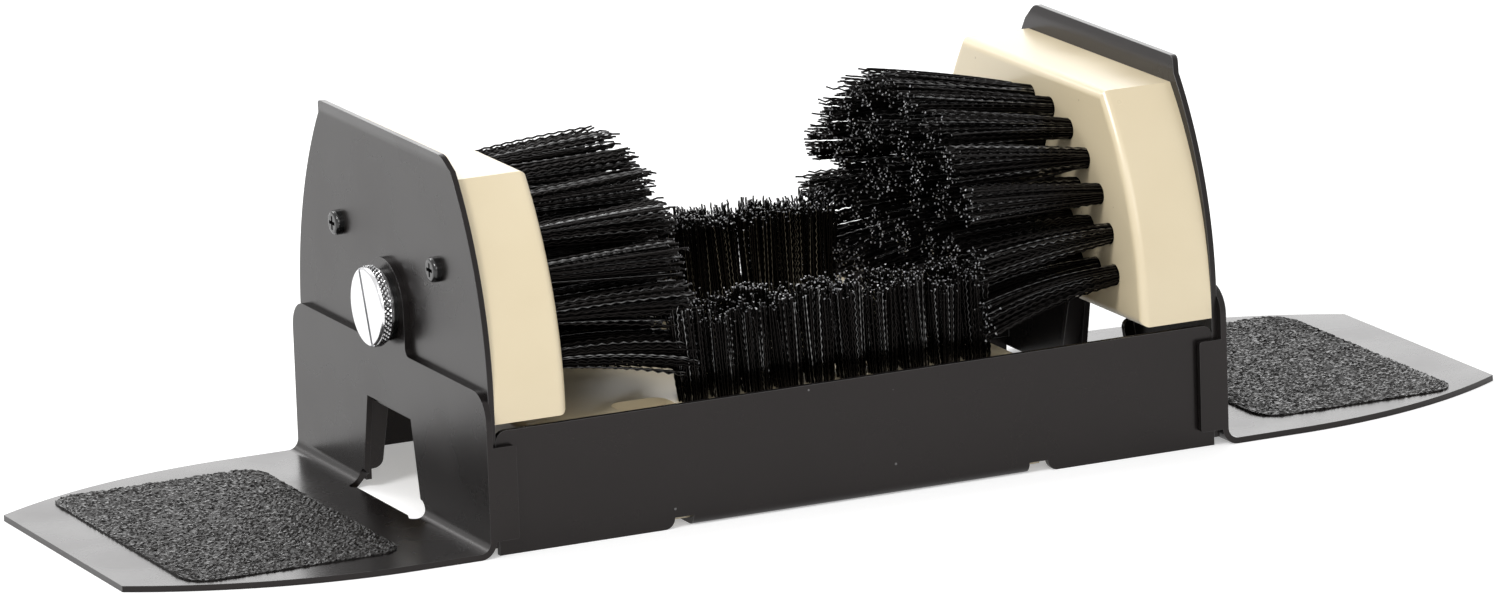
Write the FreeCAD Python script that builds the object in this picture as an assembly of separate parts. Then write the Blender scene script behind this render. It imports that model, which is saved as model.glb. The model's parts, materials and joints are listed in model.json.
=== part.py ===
import FreeCAD, Part
import math
import os

os.makedirs("parts", exist_ok=True)

# Boot scrubber: a pressed steel cradle with two side brushes and a bottom brush,
# and a foot bracket screwed on each end that the user stands on.
# Millimetres, +Z up, X along the cradle, origin at the bottom centre.

# Cradle of sheet steel
sheet = 2.0
frame_length = 254.0
frame_width = 148.0
wall_height = 39.5
wall_corner_radius = 3.5
web_bend_radius = 1.5
relief_centre = 62.0
relief_width = 6.4

# End plates
end_bottom = 2.5
shoulder_height = 48.3
side_arc_radius = 119.4
frame_height = 122.4
lip_height = 4.9
lip_lean = 1.6
end_corner_radius = 4.0
arch_top = 30.5
arch_top_half = 17.8
arch_foot_height = 5.7
arch_foot_half = 25.6
arch_flange_depth = 3.8
arch_flange_bottom = 5.9
arch_flange_radius = 3.0
wall_flange_length = 12.0
wall_flange_bottom = 6.0
wall_flange_top = 34.0
wall_flange_radius = 3.5

# Brush blocks
side_block_thickness = 25.0
side_block_bottom = 41.7
side_block_drop = 8.1
side_block_arc_radius = 119.4
side_block_round = 3.0
bottom_block_reach = 64.0
bottom_block_side_gap = 1.5
bottom_block_top = 35.5
bottom_block_round = 2.5
bottom_tongue_reach = 108.0
bottom_tongue_thickness = 14.0
tongue_notch_inset = 33.0
tongue_notch_length = 19.0
tongue_notch_width = 24.0
tongue_notch_radius = 5.0

# Bristle tufts, set in drilled holes over a wire anchor
hole_diameter = 7.0
hole_depth = 10.0
tuft_play = 0.15
anchor_width = 1.6
anchor_thickness = 0.5
tuft_gap = 0.8
side_tip_position = 54.0
fan_centre_height = 49.5
fan_side_margin = 17.8
fan_top_margin = 10.2
fan_step = 13.2
fan_lowest_rise = 6.1
fan_spread_share = 0.05
fan_arc_shares = (1.0, 0.78, 0.56, 0.34)
fan_names = ("outer", "second", "third", "inner")
bottom_tuft_pitch = 11.0
bottom_row_inset = 17.0
bottom_row_gap = 12.0
bottom_row_end = 14.5
bottom_tip_height = 65.0

# Screws that hold the brush blocks
block_screw_diameter = 4.2
block_screw_length = 12.7
block_screw_inset = 35.6
block_screw_height = 84.2
pan_head_diameter = 8.0
pan_head_height = 2.6
pan_head_round = 1.2
screw_point_length = 2.4
recess_width = 1.1
recess_length = 4.4
recess_depth = 1.5
web_screw_along = 40.0
web_screw_across = 25.0
web_screw_length = 16.0
flat_head_diameter = 8.2
flat_head_sink = 0.2

# Thumb screw, its collar and the nut welded inside the end plate
thumb_height = 65.4
thumb_diameter = 8.0
thumb_pitch = 1.25
thumb_head_diameter = 26.0
thumb_head_thickness = 4.6
thumb_head_chamfer = 0.6
thumb_length = 15.3
thumb_tip_chamfer = 1.0
knurl_count = 60
knurl_depth = 0.45
coin_slot_width = 1.5
coin_slot_depth = 1.2
coin_slot_angle = 19.0
collar_diameter = 23.0
collar_thickness = 1.8
collar_round = 0.5
nut_across_flats = 13.0
nut_thickness = 6.5
pocket_diameter = 16.0
pocket_depth = 11.0

# Foot brackets
foot_reach = 241.0
foot_tip_half = 50.0
foot_straight = 26.0
foot_bend_radius = 3.5
leg_shoulder_height = 51.8
leg_shoulder_radius = 9.0
tongue_radius = 15.0
tongue_root_radius = 2.5
tab_play = 0.4
tab_length = 7.8
tab_corner_radius = 1.0
tab_bottom = 5.3
tab_top = 35.0
window_top = 32.4
window_top_half = 17.0
window_foot_half = 22.7
window_foot_height = 5.0
window_corner_radius = 3.6

# Grip tape on the foot plates
tape_start = 150.5
tape_length = 72.0
tape_side_margin = 14.0
tape_corner_radius = 9.0
tape_thickness = 0.8

# Clearances shared by every fit
bolt_play = 0.3
thread_play = 0.05
cut_over = 5.0

half_length = frame_length / 2
half_width = frame_width / 2
plate_inner = half_length - sheet
wall_inner = half_width - sheet
bend_outer = web_bend_radius + sheet
lip_start = frame_height - lip_height
leg_outer = half_length + sheet
leg_half = half_width + tab_play + sheet
foot_bend_outer = foot_bend_radius + sheet
tape_half = half_width - tape_side_margin
block_inner = plate_inner - side_block_thickness
side_block_top = frame_height - side_block_drop
block_screw_y = half_width - block_screw_inset
fan_half_width = half_width - fan_side_margin
fan_rise = side_block_top - fan_top_margin - fan_centre_height
fan_pitch = min(fan_half_width, fan_rise) * (fan_arc_shares[0] - fan_arc_shares[1])
side_tip_radius = (min(fan_pitch, fan_step) * (1 + fan_spread_share) - tuft_gap) / 2
bottom_outer_row = half_width - bottom_row_inset
bottom_inner_row = bottom_outer_row - bottom_row_gap
bottom_row_reach = bottom_block_reach - bottom_row_end
bottom_tip_room = side_tip_position - bottom_row_reach - tuft_gap / 4
bottom_tip_radius = min((bottom_tuft_pitch - tuft_gap) / 2, bottom_tip_room)
X = FreeCAD.Vector(1, 0, 0)
Y = FreeCAD.Vector(0, 1, 0)
Z = FreeCAD.Vector(0, 0, 1)


def vec(x, y, z):
    return FreeCAD.Vector(x, y, z)


def box(x0, x1, y0, y1, z0, z1):
    """Box between two corners."""
    return Part.makeBox(x1 - x0, y1 - y0, z1 - z0, vec(x0, y0, z0))


def rod_x(radius, x0, x1, y, z):
    """Round bar along X."""
    return Part.makeCylinder(radius, x1 - x0, vec(x0, y, z), X)


def rod_z(radius, x, y, z0, z1):
    """Round bar along Z."""
    return Part.makeCylinder(radius, z1 - z0, vec(x, y, z0), Z)


def polygon(points):
    """Closed flat face through the points."""
    return Part.Face(Part.makePolygon(points + [points[0]]))


def fuse(shapes):
    """One clean solid from touching or crossing solids."""
    return shapes[0].multiFuse(shapes[1:]).removeSplitter()


def runs_along(edge, axis):
    """True for a straight edge parallel to the axis."""
    ends = [v.Point for v in edge.Vertexes]
    return len(ends) == 2 and (ends[1] - ends[0]).cross(axis).Length < thread_play


def round_edges(shape, radius, wanted, axis=None):
    """Fillets the edges, along the axis if one is given, whose end points satisfy the test."""
    edges = [e for e in shape.Edges if all(wanted(v.Point) for v in e.Vertexes)
             and (axis is None or runs_along(e, axis))]
    return shape.makeFillet(radius, edges)


def mirrored(shape):
    """The same piece for the left end."""
    return shape.mirror(vec(0, 0, 0), X)


def export(name, shapes):
    """Writes one node, a single solid or a group of separate solids."""
    solid = shapes if isinstance(shapes, Part.Shape) else Part.makeCompound(shapes)
    solid.exportStep("parts/" + name + ".step")
    print(name, len(solid.Solids), "solids", round(solid.Volume), "mm3", solid.isValid())


def export_pair(name, shapes):
    """Writes a right hand node and its left hand twin."""
    group = shapes if isinstance(shapes, list) else [shapes]
    twins = [mirrored(s) for s in group]
    export("right_" + name, group[0] if len(group) == 1 else group)
    export("left_" + name, twins[0] if len(twins) == 1 else twins)


def arc_half(half, radius, start, height):
    """Half width at a height on a side that curves inwards above its start."""
    return half - radius + math.sqrt(radius ** 2 - (height - start) ** 2)


def shield_face(x, bottom, start, top, half, radius):
    """Outline of an end plate or block: straight sides, then arcs to a flat top."""
    middle = (start + top) / 2
    top_half = arc_half(half, radius, start, top)
    middle_half = arc_half(half, radius, start, middle)
    edges = [Part.makeLine(vec(x, top_half, top), vec(x, -top_half, top))]
    for side in (-1, 1):
        edges.append(Part.Arc(vec(x, side * half, start), vec(x, side * middle_half, middle),
                              vec(x, side * top_half, top)).toShape())
    if bottom < start:
        edges.append(Part.makeLine(vec(x, -half, start), vec(x, -half, bottom)))
        edges.append(Part.makeLine(vec(x, half, bottom), vec(x, half, start)))
    edges.append(Part.makeLine(vec(x, -half, bottom), vec(x, half, bottom)))
    return Part.Face(Part.Wire(Part.__sortEdges__(edges)))


def base_channel():
    """Web and two walls bent from one sheet, with bend reliefs beside the web."""
    web_half = relief_centre - relief_width / 2
    strip_start = relief_centre + relief_width / 2
    outer = round_edges(box(-web_half, web_half, -half_width, half_width, 0, wall_height), bend_outer,
                        lambda p: p.z < sheet and abs(p.y) > wall_inner, X)
    inner = box(-half_length, half_length, -wall_inner, wall_inner, sheet, wall_height + cut_over)
    inner = round_edges(inner, web_bend_radius, lambda p: p.z < web_bend_radius + sheet, X)
    pieces = [outer.cut(inner)]
    for side in (-1, 1):
        y0, y1 = sorted((side * wall_inner, side * half_width))
        wall = box(-plate_inner, plate_inner, y0, y1, bend_outer, wall_height)
        pieces.append(round_edges(wall, wall_corner_radius,
                                  lambda p: p.z > bend_outer and abs(p.x) > strip_start, Y))
        for end in (-1, 1):
            x0, x1 = sorted((end * strip_start, end * plate_inner))
            strip = box(x0, x1, y0, y1, 0, bend_outer)
            centre = end * (strip_start + bend_outer)
            x0, x1 = sorted((end * strip_start, centre))
            corner = box(x0, x1, y0, y1, 0, bend_outer)
            bar = Part.makeCylinder(bend_outer, sheet, vec(centre, y0, bend_outer), Y)
            pieces.append(strip.cut(corner.cut(bar)))
    channel = fuse(pieces)
    for x in (-web_screw_along, web_screw_along):
        for y in (-web_screw_across, web_screw_across):
            channel = channel.cut(flat_screw(x, y, bolt_play))
    return channel


def end_plate():
    """Right end plate: a shield with a leaning lip, an arch and flanges."""
    section = polygon([vec(plate_inner, -half_width, end_bottom), vec(half_length, -half_width, end_bottom),
                       vec(half_length, -half_width, lip_start),
                       vec(half_length + lip_lean, -half_width, frame_height),
                       vec(plate_inner + lip_lean, -half_width, frame_height),
                       vec(plate_inner, -half_width, lip_start)])
    sheet_body = section.extrude(Y * frame_width)
    outline = shield_face(plate_inner - cut_over, end_bottom, shoulder_height, frame_height,
                          half_width, side_arc_radius).extrude(X * (sheet + cut_over * 2))
    outline = round_edges(outline, end_corner_radius, lambda p: p.z > lip_start, X)
    plate = sheet_body.common(outline)
    x0 = plate_inner - cut_over
    arch = polygon([vec(x0, -arch_top_half, arch_top), vec(x0, arch_top_half, arch_top),
                    vec(x0, arch_foot_half, arch_foot_height), vec(x0, arch_foot_half, 0),
                    vec(x0, -arch_foot_half, 0), vec(x0, -arch_foot_half, arch_foot_height)])
    pieces = [plate.cut(arch.extrude(X * (cut_over * 3)))]
    slope = (arch_foot_half - arch_top_half) / (arch_top - arch_foot_height)
    flange_half = arch_top_half + slope * (arch_top - arch_flange_bottom)
    for side in (-1, 1):
        flange = polygon([vec(plate_inner, side * arch_top_half, arch_top),
                          vec(plate_inner, side * flange_half, arch_flange_bottom),
                          vec(plate_inner, side * (flange_half + sheet), arch_flange_bottom),
                          vec(plate_inner, side * (arch_top_half + sheet), arch_top)])
        flange = flange.extrude(X * -arch_flange_depth)
        pieces.append(round_edges(flange, arch_flange_radius,
                                  lambda p: p.x < plate_inner - arch_flange_radius, Y))
        y0, y1 = sorted((side * wall_inner, side * (wall_inner - sheet)))
        lap = box(plate_inner - wall_flange_length, plate_inner, y0, y1, wall_flange_bottom, wall_flange_top)
        pieces.append(round_edges(lap, wall_flange_radius,
                                  lambda p: p.x < plate_inner - wall_flange_radius, Y))
    plate = fuse(pieces)
    for y in (-block_screw_y, block_screw_y):
        plate = plate.cut(rod_x(block_screw_diameter / 2 + bolt_play, plate_inner - cut_over,
                                half_length + cut_over, y, block_screw_height))
    return plate.cut(rod_x(thumb_diameter / 2 + bolt_play, plate_inner - cut_over,
                           half_length + cut_over, 0, thumb_height))


def fan_places(index):
    """Base and tip places of one arc of side tufts, as (y, z, tip_y, tip_z)."""
    wide = fan_half_width * fan_arc_shares[index]
    tall = fan_rise * fan_arc_shares[index]
    first = math.asin(fan_lowest_rise / tall)
    gaps = int(min(wide, tall) * (math.pi - 2 * first) / fan_step)
    tip = 1 + fan_spread_share
    places = []
    for i in range(gaps + 1):
        angle = first + i * (math.pi - 2 * first) / gaps
        y, rise = wide * math.cos(angle), tall * math.sin(angle)
        places.append((y, fan_centre_height + rise, tip * y, fan_centre_height + tip * rise))
    return places


def side_block():
    """Right brush block with its holes for tufts, screws and the nut."""
    face = shield_face(block_inner, side_block_bottom, side_block_bottom, side_block_top,
                       half_width, side_block_arc_radius)
    block = face.extrude(X * side_block_thickness)
    block = round_edges(block, side_block_round, lambda p: p.x < block_inner + side_block_round)
    screw_hole_end = half_length - block_screw_length - thread_play
    cuts = []
    for index in range(len(fan_names)):
        for y, z, _, _ in fan_places(index):
            cuts.append(rod_x(hole_diameter / 2, block_inner - cut_over, block_inner + hole_depth, y, z))
    for y in (-block_screw_y, block_screw_y):
        cuts.append(rod_x(block_screw_diameter / 2 + thread_play, screw_hole_end, half_length, y,
                          block_screw_height))
    cuts.append(rod_x(pocket_diameter / 2, plate_inner - pocket_depth, plate_inner + cut_over, 0,
                      thumb_height))
    return block.cut(Part.makeCompound(cuts))


def skew_cone(centre_a, radius_a, centre_b, radius_b, axis):
    """Bundle of bristles: a cone between two parallel circles."""
    rings = [Part.Wire(Part.Circle(centre_a, axis, radius_a).toShape()),
             Part.Wire(Part.Circle(centre_b, axis, radius_b).toShape())]
    return Part.makeLoft(rings, True, True)


def side_tufts(index):
    """One arc of the right hand tufts, each set in its hole."""
    tufts = []
    radius = hole_diameter / 2 - tuft_play
    for y, z, tip_y, tip_z in fan_places(index):
        root = rod_x(radius, block_inner, block_inner + hole_depth - anchor_thickness, y, z)
        spray = skew_cone(vec(block_inner, y, z), radius, vec(side_tip_position, tip_y, tip_z),
                          side_tip_radius, X)
        tufts.append(root.fuse(spray).removeSplitter())
    return tufts


def side_anchors():
    """Flat wire anchors at the bottom of the right hand holes."""
    anchors = []
    half = hole_diameter / 2 - tuft_play
    for index in range(len(fan_names)):
        for y, z, _, _ in fan_places(index):
            anchors.append(box(block_inner + hole_depth - anchor_thickness, block_inner + hole_depth,
                               y - half, y + half, z - anchor_width / 2, z + anchor_width / 2))
    return anchors


def bottom_row(y):
    """Places of one row of bottom tufts; inner rows sit half a pitch over."""
    gaps = round(2 * bottom_row_reach / bottom_tuft_pitch)
    if abs(y) < bottom_outer_row - bottom_row_gap / 2:
        gaps = gaps - 1
    return [(bottom_tuft_pitch * (i - gaps / 2), y) for i in range(gaps + 1)]


def bottom_rows():
    """The four rows by name."""
    return {"front_outer": bottom_row(-bottom_outer_row), "front_inner": bottom_row(-bottom_inner_row),
            "rear_inner": bottom_row(bottom_inner_row), "rear_outer": bottom_row(bottom_outer_row)}


def bottom_block():
    """Bottom brush block on the web; its left end is a thinner tongue with a notch in each edge."""
    half = wall_inner - bottom_block_side_gap
    underside = bottom_block_top - bottom_tongue_thickness
    body = box(-bottom_block_reach, bottom_block_reach, -half, half, sheet, bottom_block_top)
    tongue = box(-bottom_tongue_reach, -bottom_block_reach, -half, half, underside, bottom_block_top)
    block = round_edges(fuse([body, tongue]), bottom_block_round,
                        lambda p: p.z > bottom_block_top - bottom_block_round)
    notch_start = tongue_notch_inset - bottom_tongue_reach
    cuts = []
    for side in (-1, 1):
        y0, y1 = sorted((side * (half - tongue_notch_width), side * (half + cut_over)))
        notch = box(notch_start, notch_start + tongue_notch_length, y0, y1, underside,
                    bottom_block_top + cut_over)
        cuts.append(round_edges(notch, tongue_notch_radius, lambda p: abs(p.y) < half, Z))
    for row in bottom_rows().values():
        for x, y in row:
            cuts.append(rod_z(hole_diameter / 2, x, y, bottom_block_top - hole_depth,
                              bottom_block_top + cut_over))
    for x in (-web_screw_along, web_screw_along):
        for y in (-web_screw_across, web_screw_across):
            cuts.append(rod_z(block_screw_diameter / 2 + thread_play, x, y, sheet - cut_over,
                              web_screw_length + thread_play))
    return block.cut(Part.makeCompound(cuts))


def bottom_tufts(row):
    """One row of upright tufts that open a little towards their tips."""
    tufts = []
    radius = hole_diameter / 2 - tuft_play
    for x, y in row:
        root = rod_z(radius, x, y, bottom_block_top - hole_depth + anchor_thickness, bottom_block_top)
        spray = skew_cone(vec(x, y, bottom_block_top), radius, vec(x, y, bottom_tip_height),
                          bottom_tip_radius, Z)
        tufts.append(root.fuse(spray).removeSplitter())
    return tufts


def bottom_anchors():
    """Flat wire anchors at the bottom of the bottom block's holes."""
    half = hole_diameter / 2 - tuft_play
    low = bottom_block_top - hole_depth
    return [box(x - half, x + half, y - anchor_width / 2, y + anchor_width / 2, low, low + anchor_thickness)
            for row in bottom_rows().values() for x, y in row]


def pan_screw(y):
    """Cross recessed pan head screw through the right end plate."""
    radius = block_screw_diameter / 2
    tip = half_length - block_screw_length
    head = rod_x(pan_head_diameter / 2, half_length, half_length + pan_head_height, y, block_screw_height)
    head = round_edges(head, pan_head_round, lambda p: p.x > half_length)
    shank = rod_x(radius, tip + screw_point_length, half_length, y, block_screw_height)
    point = Part.makeCone(0, radius, screw_point_length, vec(tip, y, block_screw_height), X)
    screw = fuse([head, shank, point])
    deep = half_length + pan_head_height - recess_depth
    for dy, dz in ((recess_length, recess_width), (recess_width, recess_length)):
        screw = screw.cut(box(deep, deep + cut_over, y - dy / 2, y + dy / 2,
                              block_screw_height - dz / 2, block_screw_height + dz / 2))
    return screw


def flat_screw(x, y, play=0):
    """Countersunk screw up through the web, or its hole when play is given."""
    radius = block_screw_diameter / 2 + play
    head_radius = flat_head_diameter / 2 + play
    start = 0 if play else flat_head_sink
    cone = Part.makeCone(head_radius, radius, sheet - flat_head_sink, vec(x, y, flat_head_sink), Z)
    pieces = [cone, rod_z(radius, x, y, sheet, web_screw_length - screw_point_length)]
    if play:
        pieces.append(rod_z(head_radius, x, y, start - cut_over, flat_head_sink))
        return fuse(pieces)
    pieces.append(Part.makeCone(radius, 0, screw_point_length,
                                vec(x, y, web_screw_length - screw_point_length), Z))
    screw = fuse(pieces)
    for dx, dy in ((recess_length, recess_width), (recess_width, recess_length)):
        screw = screw.cut(box(x - dx / 2, x + dx / 2, y - dy / 2, y + dy / 2, 0, recess_depth))
    return screw


def weld_nut():
    """Hexagon nut welded inside the right end plate."""
    corner = nut_across_flats / math.sqrt(3)
    points = [vec(plate_inner - nut_thickness, corner * math.cos(k * math.pi / 3),
                  thumb_height + corner * math.sin(k * math.pi / 3)) for k in range(6)]
    nut = polygon(points).extrude(X * nut_thickness)
    bore = rod_x(thumb_diameter / 2 + thread_play, plate_inner - nut_thickness - cut_over,
                 plate_inner + cut_over, 0, thumb_height)
    return nut.cut(bore)


def collar():
    """Plain collar between the right thumb screw's head and the bracket."""
    ring = rod_x(collar_diameter / 2, leg_outer, leg_outer + collar_thickness, 0, thumb_height)
    ring = round_edges(ring, collar_round, lambda p: p.x > leg_outer)
    return ring.cut(rod_x(thumb_diameter / 2 + bolt_play, leg_outer - cut_over,
                          leg_outer + collar_thickness + cut_over, 0, thumb_height))


def thumb_screw():
    """Knurled thumb screw with a coin slot across its head."""
    start = leg_outer + collar_thickness
    radius = thumb_head_diameter / 2
    points = []
    for k in range(2 * knurl_count):
        r = radius if k % 2 else radius - knurl_depth
        angle = k * math.pi / knurl_count
        points.append(vec(start, r * math.cos(angle), thumb_height + r * math.sin(angle)))
    knurl = polygon(points).extrude(X * thumb_head_thickness)
    envelope = Part.makeCylinder(radius, thumb_head_thickness, vec(start, 0, thumb_height), X)
    envelope = envelope.makeChamfer(thumb_head_chamfer, [e for e in envelope.Edges if len(e.Vertexes) == 1
                                                         or e.Closed])
    head = knurl.common(envelope)
    shank = rod_x(thumb_diameter / 2, start - thumb_length, start, 0, thumb_height)
    shank = shank.makeChamfer(thumb_tip_chamfer, [e for e in shank.Edges if e.Closed
                                                  and e.BoundBox.XMax < start - thumb_length / 2])
    screw = head.fuse(shank)
    face = start + thumb_head_thickness
    slot = box(face - coin_slot_depth, face + cut_over, -coin_slot_width / 2, coin_slot_width / 2,
               thumb_height - thumb_head_diameter, thumb_height + thumb_head_diameter)
    slot.rotate(vec(face, 0, thumb_height), X, -coin_slot_angle)
    return screw.cut(slot)


def foot_bracket():
    """Right foot bracket: a leg outside the end plate, bent into a foot plate."""
    bend_x = half_length + foot_bend_outer
    outer_bar = Part.makeCylinder(foot_bend_outer, 2 * leg_half, vec(bend_x, -leg_half, foot_bend_outer), Y)
    inner_bar = Part.makeCylinder(foot_bend_radius, 2 * leg_half, vec(bend_x, -leg_half, foot_bend_outer), Y)
    quarter = box(half_length, bend_x, -leg_half, leg_half, 0, foot_bend_outer)
    bend = outer_bar.cut(inner_bar).common(quarter)
    leg = box(half_length, leg_outer, -leg_half, leg_half, foot_bend_outer,
              thumb_height + tongue_radius + cut_over)
    foot = box(bend_x, foot_reach, -leg_half, leg_half, 0, sheet)
    profile = fuse([leg, bend, foot])
    shape = profile.common(leg_outline()).common(foot_outline())
    pieces = [shape]
    for side in (-1, 1):
        y0, y1 = sorted((side * (leg_half - sheet), side * leg_half))
        tab = box(half_length - tab_length, leg_outer, y0, y1, tab_bottom, tab_top)
        pieces.append(round_edges(tab, tab_corner_radius,
                                  lambda p: p.x < half_length - tab_length / 2, Y))
    shape = fuse(pieces)
    shape = shape.cut(foot_window())
    return shape.cut(rod_x(thumb_diameter / 2 + bolt_play, half_length - cut_over, leg_outer + cut_over,
                           0, thumb_height))


def leg_outline():
    """Everything inside the leg's front view: rounded shoulders and a tongue."""
    x0 = half_length - cut_over
    length = foot_reach - x0 + cut_over
    body = box(x0, x0 + length, -leg_half, leg_half, -cut_over, leg_shoulder_height)
    body = round_edges(body, leg_shoulder_radius, lambda p: p.z > leg_shoulder_height - sheet, X)
    tongue = box(x0, x0 + length, -tongue_radius, tongue_radius, 0, thumb_height)
    top = rod_x(tongue_radius, x0, x0 + length, 0, thumb_height)
    outline = fuse([body, tongue, top])
    return round_edges(outline, tongue_root_radius,
                       lambda p: abs(p.z - leg_shoulder_height) < thread_play
                       and abs(p.y) < tongue_radius + sheet, X)


def foot_outline():
    """Everything inside the foot plate's top view: sides that curve in."""
    x0 = half_length - cut_over
    x1 = half_length + foot_straight
    run = foot_reach - x1
    drop = leg_half - foot_tip_half
    radius = (run ** 2 + drop ** 2) / (2 * drop)
    middle_x = x1 + run / 2
    middle_y = leg_half - radius + math.sqrt(radius ** 2 - (run / 2) ** 2)
    edges = []
    for side in (-1, 1):
        edges.append(Part.makeLine(vec(x0, side * leg_half, -cut_over), vec(x1, side * leg_half, -cut_over)))
        edges.append(Part.Arc(vec(x1, side * leg_half, -cut_over), vec(middle_x, side * middle_y, -cut_over),
                              vec(foot_reach, side * foot_tip_half, -cut_over)).toShape())
    edges.append(Part.makeLine(vec(x0, -leg_half, -cut_over), vec(x0, leg_half, -cut_over)))
    edges.append(Part.makeLine(vec(foot_reach, -foot_tip_half, -cut_over),
                               vec(foot_reach, foot_tip_half, -cut_over)))
    face = Part.Face(Part.Wire(Part.__sortEdges__(edges)))
    return face.extrude(Z * (thumb_height + tongue_radius + cut_over * 3))


def foot_window():
    """Trapezoid window through the leg and the bend, with round lower corners."""
    x0 = half_length - cut_over
    x1 = leg_outer + foot_bend_radius
    slope = (window_foot_half - window_top_half) / (window_top - window_foot_height)
    low_half = window_foot_half + slope * (window_foot_height + cut_over)
    window = polygon([vec(x0, -window_top_half, window_top), vec(x0, window_top_half, window_top),
                      vec(x0, low_half, -cut_over), vec(x0, -low_half, -cut_over)]).extrude(X * (x1 - x0))
    pieces = [window]
    for side in (-1, 1):
        start = vec(half_length - foot_bend_outer, side * window_foot_half, -foot_bend_outer)
        pieces.append(Part.makeCylinder(window_corner_radius, 4 * foot_bend_outer, start, X + Z))
    return fuse(pieces)


def grip_tape():
    """Rounded sheet of grit tape on the right foot plate."""
    tape = box(tape_start, tape_start + tape_length, -tape_half, tape_half,
               sheet, sheet + tape_thickness)
    edges = [e for e in tape.Edges if abs(e.Length - tape_thickness) < thread_play]
    return tape.makeFillet(tape_corner_radius, edges)


export("base_channel", base_channel())
export_pair("end_plate", end_plate())
export_pair("side_block", side_block())
for index, name in enumerate(fan_names):
    export_pair(name + "_side_tufts", side_tufts(index))
export_pair("tuft_anchors", side_anchors())
export_pair("side_block_screws", [pan_screw(-block_screw_y), pan_screw(block_screw_y)])
export("bottom_block", bottom_block())
for name, row in bottom_rows().items():
    export("bottom_" + name + "_tufts", bottom_tufts(row))
export("bottom_tuft_anchors", bottom_anchors())
export("bottom_block_screws", [flat_screw(x, y) for x in (-web_screw_along, web_screw_along)
                               for y in (-web_screw_across, web_screw_across)])
export_pair("weld_nut", weld_nut())
export_pair("foot_bracket", foot_bracket())
export_pair("grip_tape", grip_tape())
export_pair("collar", collar())
export_pair("thumb_screw", thumb_screw())
thread_run = thumb_length - collar_thickness - 2 * sheet
print("thumb screw runs out in", round(thread_run / thumb_pitch, 1), "turns")
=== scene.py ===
# %% [markdown]
# # Boot scrubber
# A steel tray with a brush on each side and one in the middle, and a plate on each end that
# a person stands on while pushing a boot through. The steel, the blocks and the screws come
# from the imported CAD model. This lesson gives them finishes and softer edges, and grows what
# CAD can't hold: some six thousand crimped bristles, the grit on the foot plates and the
# knurled thumb screws. Lengths are in metres, X runs along the tray and Z is up.

# %% Load the frame
import json
import math

import bmesh
import bpy
import numpy as np
from mathutils import Matrix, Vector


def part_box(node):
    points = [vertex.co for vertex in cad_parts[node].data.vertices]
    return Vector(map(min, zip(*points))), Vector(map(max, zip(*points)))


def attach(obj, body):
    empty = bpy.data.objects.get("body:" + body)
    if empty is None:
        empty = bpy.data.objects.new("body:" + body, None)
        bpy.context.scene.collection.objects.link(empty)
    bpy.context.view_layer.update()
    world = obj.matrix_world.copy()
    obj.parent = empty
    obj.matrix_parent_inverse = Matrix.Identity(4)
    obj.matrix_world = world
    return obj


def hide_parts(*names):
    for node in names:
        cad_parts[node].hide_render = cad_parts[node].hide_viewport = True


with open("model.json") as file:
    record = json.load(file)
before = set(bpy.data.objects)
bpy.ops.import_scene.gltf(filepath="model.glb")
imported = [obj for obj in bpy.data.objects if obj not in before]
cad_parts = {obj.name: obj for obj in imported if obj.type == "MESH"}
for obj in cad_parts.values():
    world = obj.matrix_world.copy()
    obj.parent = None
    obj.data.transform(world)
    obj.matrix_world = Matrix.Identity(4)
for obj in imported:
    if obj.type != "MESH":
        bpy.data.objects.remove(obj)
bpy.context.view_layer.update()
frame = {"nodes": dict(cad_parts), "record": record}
MM = 0.001
SIDES = {"left": -1, "right": 1}

# %% [markdown]
# ## Camera
# The photograph was taken from well above the tray's near left corner with a long lens, so
# the tray's lines stay almost parallel. A long lens far away gives that look. The place and
# the direction come from fitting the tray's corners, and the roll is a degree or two.

# %% Camera
CAMERA_PLACE = (-1.26797, -2.70561, 0.77089)
LOOK = np.array([0.411869, 0.880477, -0.234784])
RIGHT = np.array([0.9008, -0.4331, -0.0332])
LENS, SENSOR = 230.8, 36.0
NEAREST, FARTHEST = 0.1, 100.0


def camera_rows(look, right):
    """Rotation whose columns are right, up = right x look, and -look, all at unit length."""
    look = look / np.linalg.norm(look)
    right = right - look * (right @ look)
    right = right / np.linalg.norm(right)
    return np.column_stack([right, np.cross(right, look), -look])


camera_data = bpy.data.cameras.new("camera")
camera_data.lens, camera_data.sensor_width = LENS, SENSOR
camera_data.clip_start, camera_data.clip_end = NEAREST, FARTHEST
camera = bpy.data.objects.new("camera", camera_data)
bpy.context.scene.collection.objects.link(camera)
pose = np.eye(4)
pose[:3, :3] = camera_rows(LOOK, RIGHT)
pose[:3, 3] = CAMERA_PLACE
camera.matrix_world = Matrix(pose.tolist())
bpy.context.scene.camera = camera
print("camera at", CAMERA_PLACE)

# %% [markdown]
# ## Studio
# Dark paint is drawn by what it reflects, so the tray needs a white room around it and a
# white floor under it. The world shows white to the camera and to reflections, and lights
# everything else a little less. The floor's paper glows a little for those same rays, so it
# looks white without throwing more light on the tray, and it keeps the tray's shadow.

# %% World and floor
ROOM_LIGHT = 0.55
PAPER_TONE, PAPER_ROUGHNESS, PAPER_GLOW = 0.82, 0.9, 0.35
FLOOR_HALF = 30.0
WHITE = (1.0, 1.0, 1.0, 1.0)


def seen_rays(nodes, links):
    """Socket that is 1 for camera, glossy and transmission rays, and 0 for the rest."""
    path = nodes.new("ShaderNodeLightPath")
    value = path.outputs["Is Camera Ray"]
    for other in ("Is Glossy Ray", "Is Transmission Ray"):
        larger = nodes.new("ShaderNodeMath")
        larger.operation = "MAXIMUM"
        links.new(value, larger.inputs[0])
        links.new(path.outputs[other], larger.inputs[1])
        value = larger.outputs[0]
    return value


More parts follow.
